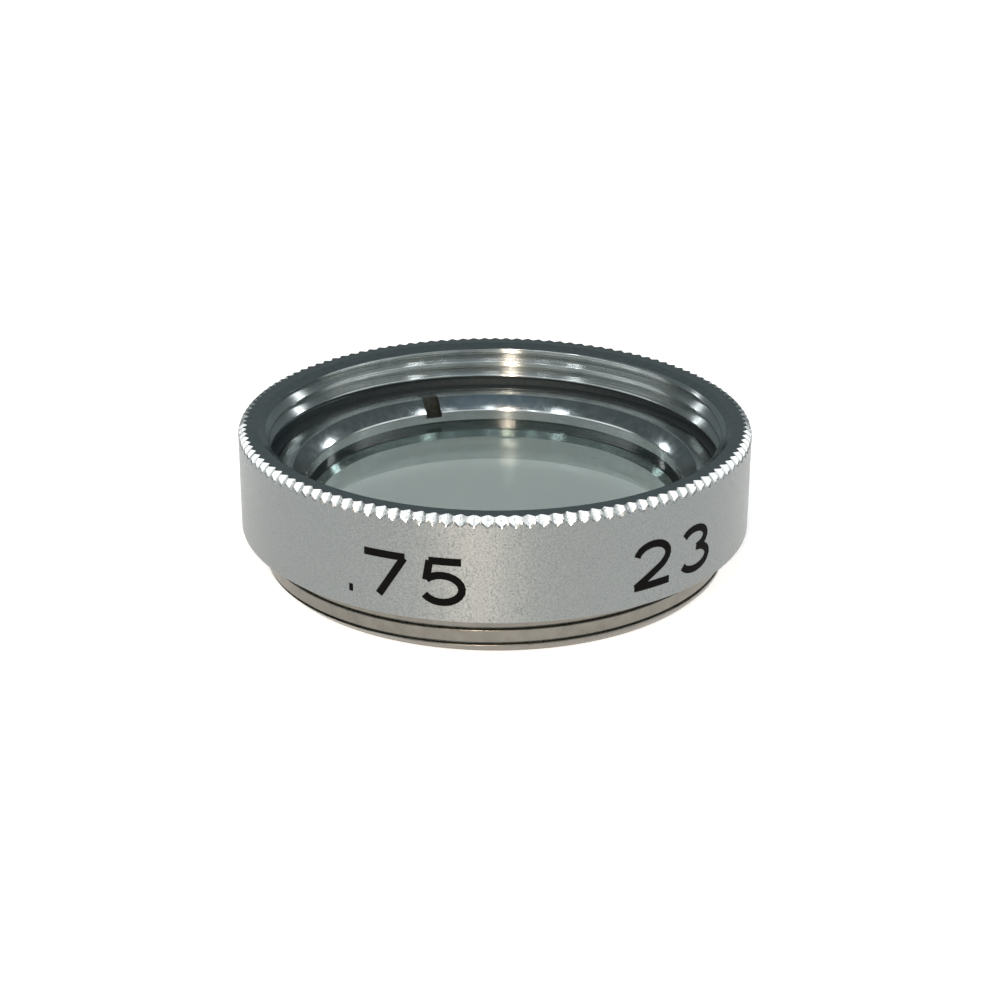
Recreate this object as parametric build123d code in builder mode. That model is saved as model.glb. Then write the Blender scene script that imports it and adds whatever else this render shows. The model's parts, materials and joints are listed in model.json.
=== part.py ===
"""A screw-in lens filter: a turned ring with a knurled edge, which holds a glass disc under a slotted ring."""

import os
from math import cos, pi, sin, sqrt

from build123d import *

# The filter stands on its rear end at z = 0, with its axis on Z and its front opening up.
# All sizes are in millimetres. The threads are plain cylinders here, each at the radius of its crests.

# Threads
thread_diameter = 23.0
thread_pitch = 0.75
thread_depth_per_pitch = 0.5413
rear_thread_length = 2.1
rear_thread_lead = 0.4

# Body and rim of the mount ring
shoulder_width = 1.1
body_height = 5.1
shoulder_edge_break = 0.06
mouth_chamfer_width = 0.54
mouth_chamfer_depth = 0.33

# Knurled front edge
knurl_chamfer = 0.33
knurl_pitch = 0.593
knurl_land = 0.06
knurl_depth = 0.135
knurl_floor = 0.22
cut_margin = 0.2

# Seat and rear opening
seat_height = 1.8
seat_width = 1.65
seat_chamfer = 0.3
rear_chamfer = 0.55

# Bore over the seat: the pocket for the glass, the thread of the retaining ring and the groove above it
retainer_step = 0.2
pocket_step = 0.24
thread_run_below_glass_top = 0.3
relief_height = 0.4
relief_depth = 0.05

# Glass
glass_thickness = 1.8
glass_bevel = 0.15
glass_clearance = 0.05

# Retaining ring
ring_width = 1.53
ring_height = 1.2
ring_cone = 0.69
ring_lead = 0.15
ring_clearance = 0.03
slot_width = 0.87
slot_reach = 0.75
slot_depth = 0.93
slot_count = 2
slot_angle = 110.5

# Radii that follow from the sizes above
thread_radius = thread_diameter / 2
body_radius = thread_radius + shoulder_width
front_bore_radius = thread_radius - thread_depth_per_pitch * thread_pitch
relief_radius = thread_radius + relief_depth
retainer_bore_radius = front_bore_radius - retainer_step
pocket_radius = retainer_bore_radius - pocket_step
glass_radius = pocket_radius - glass_clearance
lip_radius = glass_radius - seat_width
ring_outer_radius = retainer_bore_radius - ring_clearance
ring_inner_radius = ring_outer_radius - ring_width

# Heights that follow from the sizes above
rim_height = rear_thread_length + body_height
glass_top = seat_height + glass_thickness
thread_floor = glass_top - thread_run_below_glass_top
ring_top = glass_top + ring_height

# The knurl: grooves side by side all the way round, which run down the 45 degree slope of the front edge
slope_reach = knurl_chamfer + sqrt(2) * knurl_depth
land_radius = body_radius - knurl_chamfer
floor_radius = body_radius - slope_reach
groove_count = round(2 * pi * land_radius / knurl_pitch)
groove_angle = 2 * pi / groove_count
floor_angle = knurl_floor / land_radius
land_angle = knurl_land / land_radius
cut_drop = slope_reach + cut_margin


def toothed_outline(growth):
    """Corners of the toothed outline of the rim, with its radius grown by the given amount."""
    corners = []
    for groove in range(groove_count):
        middle = groove * groove_angle
        next_land = middle + groove_angle / 2
        corners.append((floor_radius, middle - floor_angle / 2))
        corners.append((floor_radius, middle + floor_angle / 2))
        corners.append((land_radius, next_land - land_angle / 2))
        corners.append((land_radius, next_land + land_angle / 2))
    return [((radius + growth) * cos(angle), (radius + growth) * sin(angle)) for radius, angle in corners]


os.makedirs("parts", exist_ok=True)

# Cutter for the knurl: a disc with a toothed cone taken out of it, wider by as much as it goes down
with BuildPart() as knurl_cutter:
    with Locations((0, 0, rim_height - cut_drop)):
        Cylinder(
            body_radius + cut_drop,
            cut_drop + cut_margin,
            align=(Align.CENTER, Align.CENTER, Align.MIN),
        )
    for growth in (-cut_margin, cut_drop):
        with BuildSketch(Plane.XY.offset(rim_height - growth)):
            with BuildLine():
                Polyline(*toothed_outline(growth), close=True)
            make_face()
    loft(ruled=True, mode=Mode.SUBTRACT)

# Mount ring: one turned piece, then the knurl
with BuildPart() as mount_ring:
    with BuildSketch(Plane.XZ):
        with BuildLine():
            Polyline(
                (lip_radius + rear_chamfer, 0),
                (thread_radius - rear_thread_lead, 0),
                (thread_radius, rear_thread_lead),
                (thread_radius, rear_thread_length),
                (body_radius - shoulder_edge_break, rear_thread_length),
                (body_radius, rear_thread_length + shoulder_edge_break),
                (body_radius, rim_height),
                (front_bore_radius + mouth_chamfer_width, rim_height),
                (front_bore_radius, rim_height - mouth_chamfer_depth),
                (front_bore_radius, ring_top + relief_height),
                (relief_radius, ring_top + relief_height),
                (relief_radius, ring_top),
                (retainer_bore_radius, ring_top),
                (retainer_bore_radius, thread_floor),
                (pocket_radius, thread_floor),
                (pocket_radius, seat_height),
                (lip_radius + seat_chamfer, seat_height),
                (lip_radius, seat_height - seat_chamfer),
                (lip_radius, rear_chamfer),
                close=True,
            )
        make_face()
    revolve(axis=Axis.Z)
    add(knurl_cutter.part, mode=Mode.SUBTRACT)
mount_ring.part.label = "mount_ring"
export_step(mount_ring.part, "parts/mount_ring.step")

# Glass: a flat disc with bevelled edges, on the seat
with BuildPart(Plane.XY.offset(seat_height)) as filter_glass:
    Cylinder(glass_radius, glass_thickness, align=(Align.CENTER, Align.CENTER, Align.MIN))
    chamfer(filter_glass.edges().filter_by(GeomType.CIRCLE), glass_bevel)
filter_glass.part.label = "filter_glass"
export_step(filter_glass.part, "parts/filter_glass.step")

# Retaining ring: it screws down on the glass, and its two slots take a spanner
with BuildPart() as retaining_ring:
    with BuildSketch(Plane.XZ):
        with BuildLine():
            Polyline(
                (ring_inner_radius, glass_top),
                (ring_outer_radius - ring_lead, glass_top),
                (ring_outer_radius, glass_top + ring_lead),
                (ring_outer_radius, ring_top),
                (ring_inner_radius + ring_cone, ring_top),
                (ring_inner_radius, ring_top - ring_cone),
                close=True,
            )
        make_face()
    revolve(axis=Axis.Z)
    with PolarLocations(ring_inner_radius, slot_count, start_angle=slot_angle):
        with Locations((0, 0, ring_top)):
            Box(
                2 * slot_reach,
                slot_width,
                2 * slot_depth,
                mode=Mode.SUBTRACT,
            )
retaining_ring.part.label = "retaining_ring"
export_step(retaining_ring.part, "parts/retaining_ring.step")
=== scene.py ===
"""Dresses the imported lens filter: threads, a knurled edge, marks, materials, studio light and a camera."""

import json
from math import pi, radians, sqrt, tau

import bmesh
import bpy
import numpy as np
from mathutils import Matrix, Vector


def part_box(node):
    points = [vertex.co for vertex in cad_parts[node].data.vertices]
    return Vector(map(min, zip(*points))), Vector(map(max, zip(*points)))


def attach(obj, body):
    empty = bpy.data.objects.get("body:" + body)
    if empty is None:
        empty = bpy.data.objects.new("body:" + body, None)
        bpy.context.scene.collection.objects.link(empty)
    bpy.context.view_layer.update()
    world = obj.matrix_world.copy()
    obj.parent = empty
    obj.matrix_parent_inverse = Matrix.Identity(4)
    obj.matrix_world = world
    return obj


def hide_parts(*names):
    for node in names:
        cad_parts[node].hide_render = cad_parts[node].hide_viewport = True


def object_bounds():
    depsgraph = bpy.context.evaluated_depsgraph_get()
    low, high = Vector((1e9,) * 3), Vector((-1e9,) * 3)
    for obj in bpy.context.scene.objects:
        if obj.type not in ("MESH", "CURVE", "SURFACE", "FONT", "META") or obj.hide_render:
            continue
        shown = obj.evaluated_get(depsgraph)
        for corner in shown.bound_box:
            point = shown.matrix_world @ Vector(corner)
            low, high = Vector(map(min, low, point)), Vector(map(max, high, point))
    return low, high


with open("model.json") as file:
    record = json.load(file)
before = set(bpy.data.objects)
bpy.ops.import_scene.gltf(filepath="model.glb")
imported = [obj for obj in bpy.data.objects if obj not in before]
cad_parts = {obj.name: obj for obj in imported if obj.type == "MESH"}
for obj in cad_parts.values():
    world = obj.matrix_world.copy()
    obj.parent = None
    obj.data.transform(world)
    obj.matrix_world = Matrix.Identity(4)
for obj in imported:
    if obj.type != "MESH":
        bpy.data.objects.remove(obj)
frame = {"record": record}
cad_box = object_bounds()

# Sizes are in millimetres and angles in radians. A mesh takes its points in metres.
MM = 0.001


def node_extent(node):
    """Outer radius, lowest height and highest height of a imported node."""
    low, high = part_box(node)
    return high.x / MM, low.z / MM, high.z / MM


# Sizes from the frame
mounts = {mount["name"]: mount for mount in frame["record"]["mounts"]}
body_radius, rear_height, rim_height = node_extent("mount_ring")
glass_radius, seat_height, glass_top = node_extent("filter_glass")
ring_radius, ring_bottom, ring_top = node_extent("retaining_ring")
rear_thread_radius = mounts["rear_thread"]["dims"]["r_mm"]
front_bore_radius = mounts["front_thread"]["dims"]["r_mm"]
shoulder_height = mounts["shoulder"]["pos_m"][2] / MM

# Threads: right-handed, with straight flanks and rounded crests, which are wide and flat on the rear thread
thread_pitch = 0.75
thread_crest = 0.1
thread_root = 0.05
flank_steps = 4
rear_thread_lead = 0.4
rear_thread_flat = 0.52
rear_thread_depth = 0.13
rear_crest_height = 0.92
front_thread_depth = 0.39
front_crest_height = 6.22
back_angle = pi / 2
front_angle = 3 * pi / 2

# Mount ring
shoulder_edge_break = 0.06
mouth_chamfer_width = 0.54
mouth_chamfer_depth = 0.2
relief_height = 0.4
relief_depth = 0.05
ring_clearance = 0.03
glass_clearance = 0.05
thread_run_below_glass_top = 0.3
seat_width = 1.65
seat_chamfer = 0.3
rear_chamfer = 0.55
relief_radius = rear_thread_radius + relief_depth
retainer_bore_radius = ring_radius + ring_clearance
pocket_radius = glass_radius + glass_clearance
pocket_top = glass_top - thread_run_below_glass_top
lip_radius = glass_radius - seat_width

# Knurled edge: V-shaped grooves side by side, which run down the 45 degree slope of the rim. The wear is the
# share by which their depth differs from groove to groove.
groove_count = 130
knurl_chamfer = 0.22
knurl_depth = 0.15
knurl_wear = 0.12
knurl_floor = 0.06
knurl_land = 0.06
knurl_round = 0.05
knurl_margin = 0.12

# Retaining ring
ring_width = 1.53
ring_cone = 0.69
ring_lead = 0.15
ring_round = 0.1
edge_break = 0.03
slot_width = 0.87
slot_reach = 0.75
slot_depth = 0.93
slot_zone = 1.2
slot_angles = (radians(110.5), radians(290.5))

# Glass
glass_bevel = 0.15
glass_gap = 0.006

# Finishes, by their place in the materials of the mount ring and in those of the retaining ring
# The last two finishes of the mount ring and the last of the retaining ring are dark colours that paint shade
# in recesses.
SATIN, TURNED, POLISHED, KNURLED, WORN, BORED, PAINTED_SHADE, GROOVE_PAINTED_SHADE = range(8)
RING_TURNED, RING_POLISHED, RING_PAINTED_SHADE = range(3)

# Fineness of the meshes
mount_columns = 4 * groove_count
knurl_columns = 12 * groove_count
ring_columns = 360
slot_columns = 7
glass_columns = 360
crest_steps = 5
round_steps = 5
merge_distance = 0.0001
face_margin = 0.001
fine_crease = radians(18)
plain_crease = radians(35)


def ring_row(radius, height, angles):
    """Points round the axis, one for each angle. The radius and the height may differ from angle to angle."""
    radius = np.broadcast_to(radius, angles.shape)
    height = np.broadcast_to(height, angles.shape)
    return np.column_stack((radius * np.cos(angles), radius * np.sin(angles), height))


def even_angles(count):
    """Angles of the given number of points, spread evenly round the axis."""
    return np.arange(count) * (tau / count)


def strip_faces(near, far):
    """Faces between two closed rows of points, where one may have several points to each one of the other."""
    shared = min(len(near), len(far)) - 1
    step = len(near) // shared
    far_step = len(far) // shared
    faces = []
    for index in range(shared):
        side = near[step * index:step * (index + 1) + 1]
        other = far[far_step * index:far_step * (index + 1) + 1]
        faces.append(side + other[::-1])
    return faces


def turned_mesh(name, rows, finishes, climbs=None, capped=False):
    """Joins rows of points into a closed skin.

    A row's finish goes to the faces between it and the next row. A row that climbs runs on, after one turn,
    into the row that stands so many places further.
    """
    climbs = climbs or [0] * len(rows)
    starts = np.cumsum([0] + [len(row) for row in rows])
    closed = [[*range(starts[i], starts[i + 1]), starts[i + climb]] for i, climb in enumerate(climbs)]
    faces = []
    face_finishes = []
    last = len(rows) - 1 if capped else len(rows)
    for index in range(last):
        strip = strip_faces(closed[index], closed[(index + 1) % len(rows)])
        faces += strip
        face_finishes += [finishes[index]] * len(strip)
    if capped:
        first_row = range(starts[0], starts[1])
        last_row = range(starts[-2], starts[-1])
        faces += [list(first_row)[::-1], list(last_row)]
        face_finishes += [finishes[0], finishes[-1]]
    mesh = bpy.data.meshes.new(name)
    mesh.from_pydata(np.concatenate(rows) * MM, [], faces)
    mesh.polygons.foreach_set("material_index", face_finishes)
    return mesh


def clean_mesh(mesh, crease):
    """Merges points that coincide, turns the faces outwards and sharpens the edges over the given angle."""
    work = bmesh.new()
    work.from_mesh(mesh)
    bmesh.ops.remove_doubles(work, verts=work.verts, dist=merge_distance * MM)
    bmesh.ops.dissolve_degenerate(work, edges=work.edges, dist=merge_distance * MM)
    bmesh.ops.recalc_face_normals(work, faces=work.faces)
    work.to_mesh(mesh)
    work.free()
    mesh.shade_smooth()
    mesh.set_sharp_from_angle(angle=crease)


def add_piece(name, mesh, materials, node=None):
    """Puts a mesh in the scene as a piece of the filter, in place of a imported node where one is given."""
    piece = bpy.data.objects.new(name, mesh)
    bpy.context.scene.collection.objects.link(piece)
    for material in materials:
        mesh.materials.append(material)
    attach(piece, "root")
    if node:
        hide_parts(node)


def thread_profile(flat, depth):
    """Distances from the middle of a crest along the axis, and the depth of the thread at each one."""
    round_radius = thread_crest / 2 / np.sin(pi / 3)
    edge = np.linspace(0, thread_crest / 2, crest_steps)
    edge_depth = round_radius - np.sqrt(round_radius ** 2 - edge ** 2)
    crest = flat / 2 + edge
    flank = np.linspace(crest[-1], (thread_pitch - thread_root) / 2, flank_steps + 1)[1:]
    flank_depth = np.linspace(edge_depth[-1], depth, flank_steps + 1)[1:]
    return np.concatenate(([0], crest, flank)), np.concatenate(([0], edge_depth, flank_depth))


def thread_rows(low, high, crest_height, profile, surface):
    """Rows up a thread, how far each one climbs in a turn, and which of them start a strip under a crest.

    The crest height is where a crest is at angle 0. The surface turns a depth and a height into a radius.
    Rows that run out of the thread at either end stay on its last height there.
    """
    angles = even_angles(mount_columns)
    beside_crest, depths = profile
    corners = np.concatenate((beside_crest, thread_pitch - beside_crest[:0:-1]))

    def row(heights):
        turns = (heights - crest_height) / thread_pitch - angles / tau
        beside = np.abs(turns - np.round(turns)) * thread_pitch
        return ring_row(surface(np.interp(beside, beside_crest, depths), heights), heights, angles)

    first = int(np.floor((low - crest_height) / thread_pitch)) - 2
    last = int(np.ceil((high - crest_height) / thread_pitch))
    rows = [row(np.full(mount_columns, low))]
    for turn in range(first, last + 1):
        for corner in corners:
            climbing = crest_height + thread_pitch * (turn + angles / tau) + corner
            rows.append(row(np.clip(climbing, low, high)))
    rows.append(row(np.full(mount_columns, high)))
    final = len(rows) - 1
    climbs = [0] + [min(len(corners), final - index) for index in range(1, final)] + [0]
    root = len(beside_crest) - 1
    under_crest = [root <= (index - 1) % len(corners) <= root + flank_steps for index in range(final + 1)]
    return rows, climbs, under_crest


def scatter(index, seed):
    """A repeatable value from -1 to 1 for each whole number."""
    swing = np.sin(index * 12.9898 + seed * 78.233) * 43758.5453
    return 2 * (swing - np.floor(swing)) - 1


def knurl_reach(angles):
    """How far the slope of the knurled edge reaches from the corner of the rim, for each angle."""
    pitch = tau * (body_radius - knurl_chamfer) / groove_count
    half_width = (pitch - knurl_land) / 2
    grooves = angles * groove_count / tau
    groove = np.round(grooves)
    across = np.abs(grooves - groove) * pitch
    share = np.clip((half_width - across) / (half_width - knurl_floor / 2), 0, 1)
    depth = knurl_depth * (1 + knurl_wear * scatter(groove % groove_count, 1)) * share
    return knurl_chamfer + sqrt(2) * depth


def rear_thread():
    """Rows up the rear thread, from the rear face to the shoulder, with their climbs and finishes."""
    def surface(depths, heights):
        lead = rear_thread_lead - (heights - rear_height)
        return rear_thread_radius - np.maximum(depths, lead)

    crest_height = rear_crest_height - thread_pitch * front_angle / tau
    profile = thread_profile(rear_thread_flat, rear_thread_depth)
    rows, climbs, under_crest = thread_rows(rear_height, shoulder_height, crest_height, profile, surface)
    # The strips under each crest, root and down-facing flank, get a dark colour: painted shade.
    return rows, climbs, [PAINTED_SHADE if under else WORN for under in under_crest]


def front_thread():
    """Rows down the front thread, from its mouth to the groove under it, with their climbs and finishes."""
    def surface(depths, heights):
        return front_bore_radius + depths

    crest_height = front_crest_height - thread_pitch * back_angle / tau
    top = rim_height - mouth_chamfer_depth
    bottom = ring_top + relief_height
    rows, climbs, _ = thread_rows(bottom, top, crest_height, thread_profile(0, front_thread_depth), surface)
    return rows[::-1], [-climb for climb in climbs[::-1]], [TURNED] * len(rows)


def build_mount_ring(materials):
    """The mount ring: one turned piece with a knurled edge and two cut threads."""
    angles = even_angles(mount_columns)
    fine_angles = even_angles(knurl_columns)
    reach = knurl_reach(fine_angles)
    full_reach = reach.max() + knurl_margin
    mouth_radius = front_bore_radius + mouth_chamfer_width
    rows = []
    climbs = []
    finishes = []

    def add(new_rows, new_climbs, new_finishes):
        rows.extend(new_rows)
        climbs.extend(new_climbs)
        finishes.extend(new_finishes)

    def turn(finish, *corners):
        for radius, height in corners:
            add([ring_row(radius, height, angles)], [0], [finish])

    turn(BORED, (lip_radius + rear_chamfer, rear_height))
    add(*rear_thread())
    turn(SATIN, (body_radius - shoulder_edge_break, shoulder_height))
    turn(SATIN, (body_radius, shoulder_height + shoulder_edge_break))
    turn(SATIN, (body_radius, rim_height - full_reach))
    for step in (0, knurl_round):
        turned_edge = ring_row(body_radius - step, rim_height - reach - knurl_round + 2 * step, fine_angles)
        add([turned_edge], [0], [KNURLED])
    add([ring_row(body_radius - reach, rim_height, fine_angles)], [0], [POLISHED])
    turn(POLISHED, (body_radius - full_reach, rim_height))
    turn(POLISHED, (mouth_radius, rim_height))
    add(*front_thread())
    # The groove under the front thread gets a dark colour: painted shade.
    turn(GROOVE_PAINTED_SHADE, (relief_radius, ring_top + relief_height), (relief_radius, ring_top))
    turn(BORED, (retainer_bore_radius, ring_top), (retainer_bore_radius, pocket_top))
    turn(BORED, (pocket_radius, pocket_top), (pocket_radius, seat_height))
    turn(BORED, (lip_radius + seat_chamfer, seat_height))
    turn(BORED, (lip_radius, seat_height - seat_chamfer), (lip_radius, rear_chamfer))
    mesh = turned_mesh("mount_ring_cut", rows, finishes, climbs)
    clean_mesh(mesh, fine_crease)
    add_piece("mount_ring_cut", mesh, materials, "mount_ring")


def rounded_edge(radius, height):
    """Corners down the rounded edge between the cone of the retaining ring and its upright land."""
    reach = ring_round * np.tan(pi / 8)
    middle_radius = radius + ring_round
    middle_height = height - reach
    turn = np.linspace(pi / 4, 0, round_steps)
    radii = middle_radius - ring_round * np.cos(turn)
    heights = middle_height + ring_round * np.sin(turn)
    start = (radii[0] + edge_break, heights[0] + edge_break)
    end = (radius, middle_height - edge_break)
    return [start, *zip(radii, heights), end]


def paint_slot_shade(mesh, slot_end, half_width):
    """Gives the walls and the floors of the spanner slots the dark colour that paints shade."""
    for face in mesh.polygons:
        x, y, z = face.center / MM
        for middle in slot_angles:
            along = x * np.cos(middle) + y * np.sin(middle)
            across = y * np.cos(middle) - x * np.sin(middle)
            inside = 0 < along < slot_end + face_margin and abs(across) < half_width + face_margin
            if inside and z > ring_top - slot_depth - face_margin:
                face.material_index = RING_PAINTED_SHADE


def slotted_columns(half_width, slot_half_angle):
    """Columns round the retaining ring, which are closest at its slots.

    Each one has the angle that it is measured from, its distance across from there, and whether it lies in a
    slot.
    """
    half_turn = np.linspace(0, pi, ring_columns // 2 + 1)
    columns = []
    for middle in slot_angles:
        columns.append((middle, -half_width, False))
        columns += [(middle, share * half_width, True) for share in np.linspace(-1, 1, slot_columns)]
        columns.append((middle, half_width, False))
        for angle in half_turn:
            if slot_half_angle < angle < pi - slot_half_angle:
                columns.append((middle + angle, 0, False))
    return [np.array(values) for values in zip(*columns)]


def build_retaining_ring(materials):
    """The retaining ring, with a polished cone and two blind spanner slots, whose walls are parallel."""
    inner = ring_radius - ring_width
    slot_end = inner + slot_reach
    slot_floor = ring_top - slot_depth
    half_width = slot_width / 2
    middles, offsets, in_slot = slotted_columns(half_width, slot_zone * half_width / inner)
    corners = (
        (inner, ring_bottom + glass_gap),
        (ring_radius - ring_lead, ring_bottom + glass_gap),
        (ring_radius, ring_bottom + ring_lead),
        (ring_radius, ring_top - edge_break),
        (ring_radius - edge_break, ring_top),
        (inner + ring_cone + edge_break, ring_top),
        (inner + ring_cone - edge_break, ring_top - edge_break),
        *rounded_edge(inner, ring_top - ring_cone),
    )
    end_radius = np.hypot(slot_end, offsets)
    slot_end_corners = ((end_radius, ring_top), (end_radius, slot_floor))
    slot_corners = corners[:5] + slot_end_corners + ((inner, slot_floor),) * (len(corners) - 7)
    rows = []
    for plain_corner, slot_corner in zip(corners, slot_corners):
        radius = np.where(in_slot, slot_corner[0], plain_corner[0])
        height = np.where(in_slot, slot_corner[1], plain_corner[1])
        rows.append(ring_row(radius, height, middles + np.arcsin(offsets / radius)))
    cone_row = 6
    finishes = [RING_TURNED] * len(rows)
    finishes[cone_row] = RING_POLISHED
    mesh = turned_mesh("retaining_ring_cut", rows, finishes)
    # The slots' walls and floors are painted dark: painted shade.
    paint_slot_shade(mesh, slot_end, half_width)
    clean_mesh(mesh, plain_crease)
    add_piece("retaining_ring_cut", mesh, materials, "retaining_ring")


def build_glass(clear):
    """The glass: a flat disc with bevelled edges, a hair clear of the metal above and below it."""
    angles = even_angles(glass_columns)
    low = seat_height + glass_gap
    high = glass_top - glass_gap
    corners = (
        (glass_radius - glass_bevel, low),
        (glass_radius, low + glass_bevel),
        (glass_radius, high - glass_bevel),
        (glass_radius - glass_bevel, high),
    )
    rows = [ring_row(radius, height, angles) for radius, height in corners]
    mesh = turned_mesh("filter_glass_disc", rows, [0] * len(rows), capped=True)
    clean_mesh(mesh, plain_crease)
    add_piece("filter_glass_disc", mesh, [clear], "filter_glass")


# Marks on the band: plain numbers, the thread's diameter and its pitch
mark_height = 2.0
mark_width = 2.0
mark_stroke = 0.36
mark_space = 0.75
mark_middle = 4.05
mark_relief = 0.012
mark_depth = 0.03
stroke_lift = 0.0012
marks = (("23", radians(-49.0)), (".75", radians(-108.5)))


def arc(x, y, across, up, start, end, steps=14):
    """Points on part of an ellipse, with its angles in degrees."""
    turn = np.radians(np.linspace(start, end, steps))
    return [(x + across * np.cos(t), y + up * np.sin(t)) for t in turn]


def line(start, end, steps=8):
    """Points on a straight line."""
    share = np.linspace(0, 1, steps)
    return [(start[0] + (end[0] - start[0]) * t, start[1] + (end[1] - start[1]) * t) for t in share]


def glyph_strokes(glyph):
    """Middle lines of a figure's strokes, in a square of one by one."""
    if glyph == "2":
        bowl = arc(0.5, 0.7, 0.45, 0.3, 170, -35)
        stem = line((0.8, 0.45), (0.02, 0.0))
        return [bowl + stem, line((0.0, 0.0), (1.0, 0.0))]
    if glyph == "3":
        upper = arc(0.48, 0.76, 0.4, 0.24, 155, -80)
        lower = arc(0.5, 0.26, 0.47, 0.27, 85, -155)
        return [upper, lower]
    if glyph == "5":
        stem = line((0.2, 1.0), (0.12, 0.52), 5)
        bowl = arc(0.48, 0.33, 0.46, 0.33, 140, -150, 18)
        return [line((0.18, 1.0), (0.92, 1.0)), stem, bowl]
    if glyph == "7":
        return [line((0.0, 1.0), (1.0, 1.0)), line((0.98, 0.98), (0.36, 0.0))]
    return [line((-0.05, 0.0), (0.05, 0.0), 3)]


def stroke_skin(work, middle_line, outer):
    """Adds a closed flat bar along a middle line on the band, in (along, up) millimetres."""
    points = np.array(middle_line)
    travel = np.gradient(points, axis=0)
    travel /= np.linalg.norm(travel, axis=1, keepdims=True)
    side = np.column_stack((-travel[:, 1], travel[:, 0])) * mark_stroke / 2
    inner = body_radius - mark_depth
    corners = ((1, outer), (-1, outer), (-1, inner), (1, inner))
    sections = []
    for point, offset in zip(points, side):
        section = []
        for sign, radius in corners:
            along, up = point + sign * offset
            angle = along / body_radius
            section.append(work.verts.new((radius * np.cos(angle), radius * np.sin(angle), up)))
        sections.append(section)
    for near, far in zip(sections, sections[1:]):
        for corner in range(4):
            following = (corner + 1) % 4
            work.faces.new((near[corner], near[following], far[following], far[corner]))
    work.faces.new(sections[0][::-1])
    work.faces.new(sections[-1])


def build_mark(text, middle_angle, paint):
    """A number on the band: thin solid strokes that stand a hair proud of it."""
    widths = [0.0 if glyph == "." else mark_width for glyph in text]
    total = sum(widths) + mark_space * (len(text) - 1)
    left = middle_angle * body_radius - total / 2
    work = bmesh.new()
    for glyph, width in zip(text, widths):
        for order, stroke in enumerate(glyph_strokes(glyph)):
            placed = [
                (left + x * mark_width, mark_middle + (y - 0.5) * mark_height)
                for x, y in stroke
            ]
            stroke_skin(work, placed, body_radius + mark_relief + stroke_lift * order)
        left += width + mark_space
    bmesh.ops.scale(work, vec=(MM, MM, MM), verts=work.verts)
    name = "mark_" + text.strip(".")
    mesh = bpy.data.meshes.new(name)
    work.to_mesh(mesh)
    work.free()
    clean_mesh(mesh, plain_crease)
    add_piece(name, mesh, [paint])


def new_material(name):
    """A new material, with its node tree and its main shader."""
    material = bpy.data.materials.new(name)
    material.use_nodes = True
    tree = material.node_tree
    return material, tree, tree.nodes["Principled BSDF"]


def millimetre_coordinates(tree):
    """Object coordinates in millimetres."""
    place = tree.nodes.new("ShaderNodeTexCoord")
    scale = tree.nodes.new("ShaderNodeVectorMath")
    scale.operation = "SCALE"
    scale.inputs["Scale"].default_value = 1 / MM
    tree.links.new(place.outputs["Object"], scale.inputs[0])
    return scale.outputs["Vector"]


def noise(tree, vector, scale, detail=2.0):
    """A noise texture on the given coordinates. Its scale is in cells for each millimetre."""
    texture = tree.nodes.new("ShaderNodeTexNoise")
    texture.inputs["Scale"].default_value = scale
    texture.inputs["Detail"].default_value = detail
    tree.links.new(vector, texture.inputs["Vector"])
    return texture.outputs["Fac"]


# The part of its range that a noise mostly fills
noise_low = 0.3
noise_high = 0.7


def remap(tree, value, low, high):
    """Stretches the middle of a noise to the given range."""
    node = tree.nodes.new("ShaderNodeMapRange")
    node.inputs["From Min"].default_value = noise_low
    node.inputs["From Max"].default_value = noise_high
    node.inputs["To Min"].default_value = low
    node.inputs["To Max"].default_value = high
    tree.links.new(value, node.inputs["Value"])
    return node.outputs["Result"]


def tint(tree, value, dark, light):
    """A colour between two others, by a value from 0 to 1."""
    node = tree.nodes.new("ShaderNodeMix")
    node.data_type = "RGBA"
    node.inputs["A"].default_value = (*dark, 1)
    node.inputs["B"].default_value = (*light, 1)
    tree.links.new(value, node.inputs["Factor"])
    return node.outputs["Result"]


def bump(tree, shader, height, depth, strength):
    """Fine relief on a shader, with its full depth in millimetres."""
    node = tree.nodes.new("ShaderNodeBump")
    node.inputs["Strength"].default_value = strength
    node.inputs["Distance"].default_value = depth * MM
    tree.links.new(height, node.inputs["Height"])
    tree.links.new(node.outputs["Normal"], shader.inputs["Normal"])


def stretch_gloss(tree, shader, amount):
    """Spreads the gloss across the tool marks, which run round the axis."""
    tangent = tree.nodes.new("ShaderNodeTangent")
    tangent.direction_type = "RADIAL"
    tangent.axis = "Z"
    shader.inputs["Anisotropic"].default_value = amount
    shader.inputs["Anisotropic Rotation"].default_value = 0.25
    tree.links.new(tangent.outputs["Tangent"], shader.inputs["Tangent"])


def clouded_metal(name, scale, dark, light):
    """Metal whose colour follows a noise, with the scale of that noise in cells for each millimetre."""
    material, tree, shader = new_material(name)
    cloud = noise(tree, millimetre_coordinates(tree), scale)
    shader.inputs["Metallic"].default_value = 1.0
    tree.links.new(tint(tree, remap(tree, cloud, 0, 1), dark, light), shader.inputs["Base Color"])
    return material, tree, shader, cloud


def satin_metal():
    """Blasted aluminium: fine grain in its relief, its roughness and its colour."""
    dark = (0.21, 0.226, 0.226)
    light = (0.40, 0.422, 0.422)
    material, tree, shader, grain = clouded_metal("satin_metal", 12.0, dark, light)
    tree.links.new(remap(tree, grain, 0.24, 0.62), shader.inputs["Roughness"])
    stretch_gloss(tree, shader, 0.75)
    bump(tree, shader, grain, 0.012, 1.0)
    return material


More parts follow.
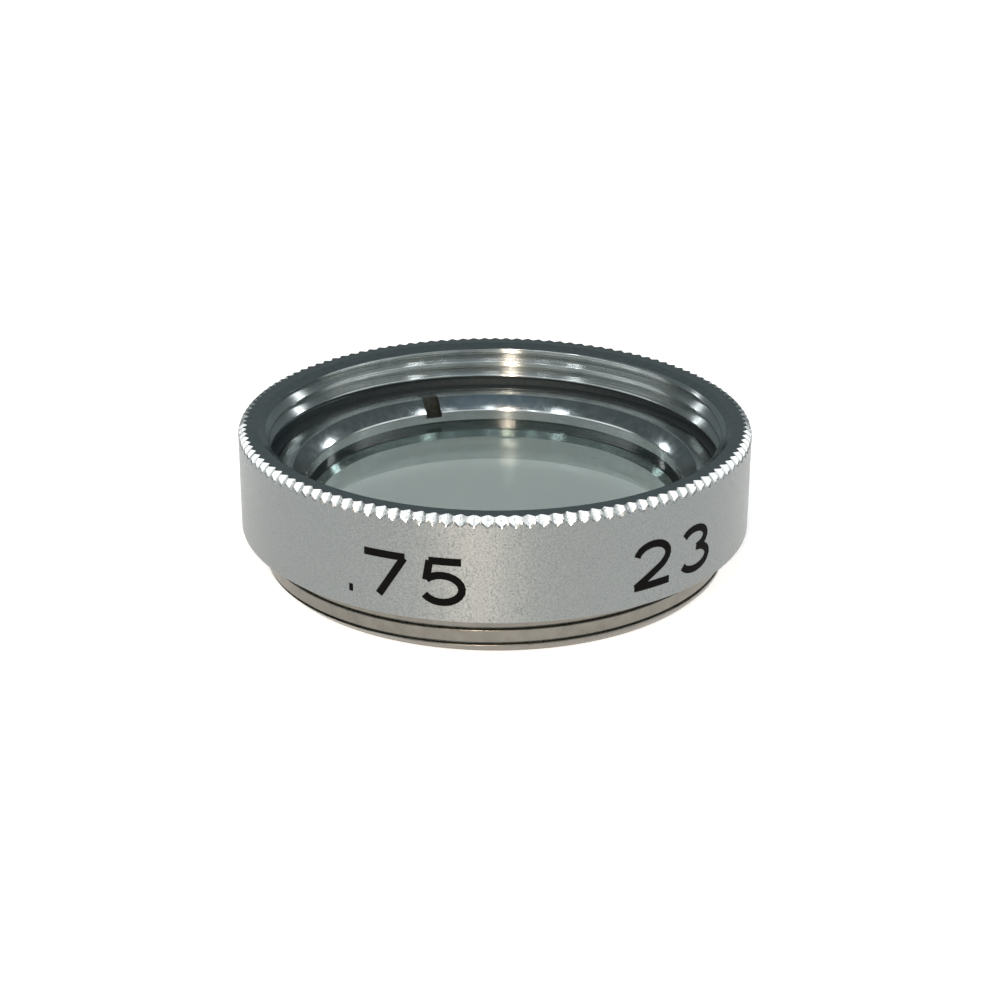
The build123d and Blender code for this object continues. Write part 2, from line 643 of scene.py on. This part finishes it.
def turned_metal(name, dark, light):
    """Bright turned aluminium: fine tool marks round the axis."""
    material, tree, shader = new_material(name)
    place = millimetre_coordinates(tree)
    flatten = tree.nodes.new("ShaderNodeVectorMath")
    flatten.operation = "MULTIPLY"
    flatten.inputs[1].default_value = (1, 1, 0)
    tree.links.new(place, flatten.inputs[0])
    length = tree.nodes.new("ShaderNodeVectorMath")
    length.operation = "LENGTH"
    tree.links.new(flatten.outputs["Vector"], length.inputs[0])
    split = tree.nodes.new("ShaderNodeSeparateXYZ")
    tree.links.new(place, split.inputs["Vector"])
    joined = tree.nodes.new("ShaderNodeCombineXYZ")
    tree.links.new(length.outputs["Value"], joined.inputs["X"])
    tree.links.new(split.outputs["Z"], joined.inputs["Z"])
    lines = noise(tree, joined.outputs["Vector"], 9.0)
    cloud = noise(tree, place, 1.2)
    shader.inputs["Metallic"].default_value = 1.0
    tree.links.new(tint(tree, remap(tree, cloud, 0, 1), dark, light), shader.inputs["Base Color"])
    tree.links.new(remap(tree, lines, 0.16, 0.24), shader.inputs["Roughness"])
    stretch_gloss(tree, shader, 0.92)
    bump(tree, shader, lines, 0.003, 0.5)
    return material


def polished_metal():
    """Bright, nearly smooth aluminium, for the rim and the cone."""
    dark = (0.34, 0.375, 0.38)
    light = (0.40, 0.43, 0.435)
    material, tree, shader, cloud = clouded_metal("polished_metal", 2.5, dark, light)
    tree.links.new(remap(tree, cloud, 0.12, 0.18), shader.inputs["Roughness"])
    return material


def knurled_metal():
    """Bright aluminium of the knurled edge, with small nicks."""
    dark = (0.66, 0.68, 0.68)
    light = (0.80, 0.82, 0.82)
    material, tree, shader, nicks = clouded_metal("knurled_metal", 8.0, dark, light)
    tree.links.new(remap(tree, nicks, 0.22, 0.34), shader.inputs["Roughness"])
    bump(tree, shader, nicks, 0.015, 0.6)
    return material


def clear_glass():
    """Clear glass with a green-grey body, dense enough to darken the floor seen through it: painted shade of
    the ring on the floor.
    """
    material, tree, shader = new_material("clear_glass")
    shader.inputs["Base Color"].default_value = (1, 1, 1, 1)
    shader.inputs["Roughness"].default_value = 0.0
    shader.inputs["IOR"].default_value = 1.52
    shader.inputs["Transmission Weight"].default_value = 1.0
    # The absorption stands in for the ring's shade on the floor under the glass: painted shade.
    body = tree.nodes.new("ShaderNodeVolumeAbsorption")
    body.inputs["Color"].default_value = (0.51, 0.59, 0.575, 1)
    body.inputs["Density"].default_value = 740.0
    tree.links.new(body.outputs["Volume"], tree.nodes["Material Output"].inputs["Volume"])
    return material


def worn_metal():
    """Dull, slightly brown aluminium of the rear thread."""
    dark = (0.19, 0.181, 0.16)
    light = (0.24, 0.229, 0.203)
    material, tree, shader, cloud = clouded_metal("worn_metal", 1.5, dark, light)
    tree.links.new(remap(tree, cloud, 0.25, 0.33), shader.inputs["Roughness"])
    return material


def painted_shade_metal(name, dark, light, roughness):
    """Dull aluminium with a dark colour that paints shade: in the slots, in the roots of the rear thread and
    in the groove under the front thread.
    """
    material, _, shader, _ = clouded_metal(name, 6.0, dark, light)
    shader.inputs["Roughness"].default_value = roughness
    return material


def black_paint():
    """Matt black paint in the marks."""
    material, tree, shader = new_material("black_paint")
    place = millimetre_coordinates(tree)
    speck = noise(tree, place, 12.0)
    tree.links.new(
        tint(tree, remap(tree, speck, 0, 1), (0.002, 0.002, 0.002), (0.005, 0.005, 0.005)),
        shader.inputs["Base Color"],
    )
    shader.inputs["Roughness"].default_value = 0.6
    shader.inputs["Specular IOR Level"].default_value = 0.05
    return material


# How much lighter the floor looks where it is seen directly, in gloss or through glass
floor_lift = 0.57


def floor_material():
    """Plain white studio floor, lifted where it is seen, so that it stays white without more light."""
    material, tree, shader = new_material("studio_floor")
    shader.inputs["Base Color"].default_value = (0.92, 0.92, 0.92, 1)
    shader.inputs["Roughness"].default_value = 0.9
    shader.inputs["Specular IOR Level"].default_value = 0.1
    shader.inputs["Emission Color"].default_value = (1, 1, 1, 1)
    path = tree.nodes.new("ShaderNodeLightPath")
    seen = path.outputs["Is Camera Ray"]
    for kind in ("Is Glossy Ray", "Is Transmission Ray"):
        either = tree.nodes.new("ShaderNodeMath")
        either.operation = "MAXIMUM"
        tree.links.new(seen, either.inputs[0])
        tree.links.new(path.outputs[kind], either.inputs[1])
        seen = either.outputs["Value"]
    lift = tree.nodes.new("ShaderNodeMath")
    lift.operation = "MULTIPLY"
    lift.inputs[1].default_value = floor_lift
    tree.links.new(seen, lift.inputs[0])
    tree.links.new(lift.outputs["Value"], shader.inputs["Emission Strength"])
    return material


def build_floor():
    """A wide floor under the filter."""
    half = 1.5
    mesh = bpy.data.meshes.new("studio_floor")
    corners = [(-half, -half, 0), (half, -half, 0), (half, half, 0), (-half, half, 0)]
    mesh.from_pydata(corners, [], [(0, 1, 2, 3)])
    mesh.materials.append(floor_material())
    floor = bpy.data.objects.new("studio_floor", mesh)
    bpy.context.scene.collection.objects.link(floor)
    floor.location.z = cad_box[0].z


def aim(thing, target):
    """Turns a lamp or the camera towards a point."""
    direction = Vector(target) - thing.location
    thing.rotation_euler = direction.to_track_quat("-Z", "Y").to_euler()


# Studio light: a dim surround, an arch of soft patches over the front, and a faint ceiling. Each patch has
# its direction, its inner and outer half angle in degrees, and the radiance that it adds.
surround = (0.14, 0.165, 0.17)
arch_light = (1.45, 1.45, 1.45)
arch_directions = ((181, 33), (202, 40), (233, 48), (270, 51), (307, 48), (338, 40), (359, 33))
light_patches = [(azimuth, elevation, 7, 17, arch_light) for azimuth, elevation in arch_directions]
light_patches.append((270, 76, 6, 24, (0.05, 0.09, 0.13)))

# Small lamps: name, direction in degrees, size in metres, power in watts and colour. They stand far enough
# off to show as spots in the metal.
lamp_distance = 0.4
warm_white = (1.0, 0.81, 0.64)
cool_white = (0.95, 0.98, 1.0)
lamps = (
    ("warm_lamp_high", 257, 68.5, 0.03, 0.08, warm_white),
    ("warm_lamp_middle", 261.5, 39, 0.02, 0.2, warm_white),
    ("warm_lamp_low", 262, 22, 0.02, 0.65, warm_white),
    ("ceiling_lamp_1", 341.5, 63, 0.034, 0.04, cool_white),
    ("ceiling_lamp_2", 321.5, 68, 0.014, 0.004, cool_white),
    ("ceiling_lamp_3", 277, 72.5, 0.02, 0.01, cool_white),
    ("ceiling_lamp_4", 231, 65.5, 0.02, 0.015, cool_white),
    ("ceiling_lamp_5", 203.4, 63.5, 0.034, 0.045, cool_white),
    ("back_lamp_right", 42, 28.7, 0.034, 0.08, cool_white),
    ("back_lamp_left", 135, 26.8, 0.034, 0.05, cool_white),
)


def heading(azimuth, elevation):
    """Unit vector of a direction that is given in degrees."""
    flat = np.cos(radians(elevation))
    return (flat * np.cos(radians(azimuth)), flat * np.sin(radians(azimuth)), np.sin(radians(elevation)))


def build_world():
    """Soft light from all round, brighter in patches."""
    world = bpy.data.worlds.new("studio")
    world.use_nodes = True
    bpy.context.scene.world = world
    tree = world.node_tree
    direction = tree.nodes.new("ShaderNodeTexCoord").outputs["Generated"]
    total = None
    for azimuth, elevation, inner, outer, radiance in light_patches:
        facing = tree.nodes.new("ShaderNodeVectorMath")
        facing.operation = "DOT_PRODUCT"
        facing.inputs[1].default_value = heading(azimuth, elevation)
        tree.links.new(direction, facing.inputs[0])
        edge = tree.nodes.new("ShaderNodeMapRange")
        edge.interpolation_type = "SMOOTHSTEP"
        edge.inputs["From Min"].default_value = np.cos(radians(outer))
        edge.inputs["From Max"].default_value = np.cos(radians(inner))
        tree.links.new(facing.outputs["Value"], edge.inputs["Value"])
        add = tree.nodes.new("ShaderNodeVectorMath")
        add.operation = "MULTIPLY_ADD"
        add.inputs[1].default_value = radiance
        add.inputs[2].default_value = surround
        tree.links.new(edge.outputs["Result"], add.inputs[0])
        if total:
            tree.links.new(total, add.inputs[2])
        total = add.outputs["Vector"]
    tree.links.new(total, tree.nodes["Background"].inputs["Color"])


def build_lamps():
    """Small round lamps that face the filter."""
    for name, azimuth, elevation, size, power, colour in lamps:
        data = bpy.data.lights.new(name, "AREA")
        data.shape = "DISK"
        data.size = size
        data.energy = power
        data.color = colour
        lamp = bpy.data.objects.new(name, data)
        bpy.context.scene.collection.objects.link(lamp)
        lamp.location = Vector(heading(azimuth, elevation)) * lamp_distance
        aim(lamp, (0, 0, rim_height / 2 * MM))


# Camera, from a fit to the outline in the photograph
camera_elevation = radians(22.48)
camera_distance = 105.24
camera_target = 3.6
camera_lens = 75.84
camera_shift = (0.0052, -0.0149)
camera_roll = radians(0.24)


def build_camera():
    """The camera at the photograph's viewpoint."""
    data = bpy.data.cameras.new("camera")
    data.lens = camera_lens
    data.shift_x, data.shift_y = camera_shift
    data.clip_start = 0.01
    camera = bpy.data.objects.new("camera", data)
    bpy.context.scene.collection.objects.link(camera)
    flat = np.cos(camera_elevation) * camera_distance
    rise = np.sin(camera_elevation) * camera_distance
    camera.location = (0, -flat * MM, (camera_target + rise) * MM)
    aim(camera, (0, 0, camera_target * MM))
    camera.rotation_euler.rotate_axis("Z", camera_roll)
    bpy.context.scene.camera = camera


satin = satin_metal()
turned = turned_metal("turned_metal", (0.55, 0.58, 0.575), (0.61, 0.64, 0.635))
bored = turned_metal("bored_metal", (0.66, 0.69, 0.68), (0.72, 0.75, 0.74))
polished = polished_metal()
# Dark colours that paint shade in the roots of the rear thread, in the slots and in the groove under the
# front thread.
painted_shade = painted_shade_metal("painted_shade_metal", (0.08, 0.09, 0.08), (0.15, 0.16, 0.15), 0.5)
groove_shade = painted_shade_metal("groove_shade_metal", (0.09, 0.111, 0.12), (0.11, 0.136, 0.147), 0.65)
build_mount_ring([satin, turned, polished, knurled_metal(), worn_metal(), bored, painted_shade, groove_shade])
build_retaining_ring([turned, polished, painted_shade])
build_glass(clear_glass())
paint = black_paint()
for text, middle_angle in marks:
    build_mark(text, middle_angle, paint)
build_floor()
build_world()
build_lamps()
build_camera()
bpy.context.scene.view_settings.view_transform = "Standard"
